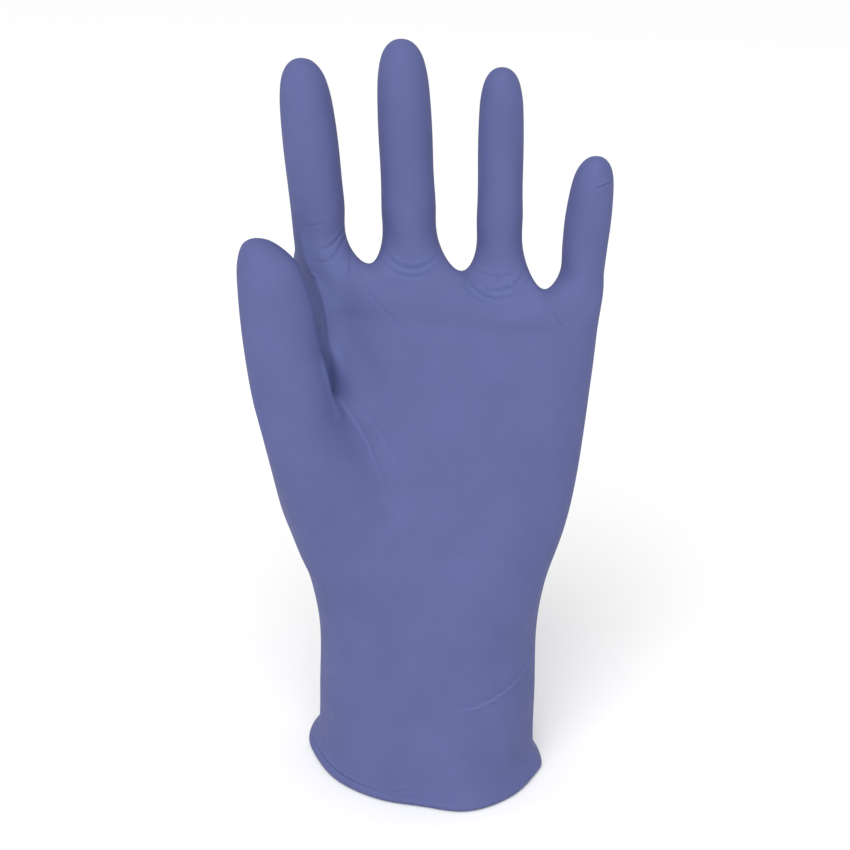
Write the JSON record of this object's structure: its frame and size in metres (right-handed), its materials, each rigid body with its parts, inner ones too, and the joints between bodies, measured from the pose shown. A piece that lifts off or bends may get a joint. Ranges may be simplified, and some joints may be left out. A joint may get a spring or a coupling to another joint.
{
  "type": "nitrile exam glove",
  "caption": "Thin dipped exam glove in the form of a worn hand, palm forward, with a flared cuff and a rolled bead at its rim.",
  "frame": {"origin": "centre of the cuff's opening, on the plane of its rim, where the wrist goes in", "axes": "+Z from the rim to the fingertips, -Y out of the palm, -X to the thumb's side"},
  "size_m": [0.1149, 0.0707, 0.24],
  "materials": {
    "nitrile": "matte blue nitrile film"
  },
  "bodies": {
    "root": {"glove": "nitrile"}
  },
  "joints": []
}
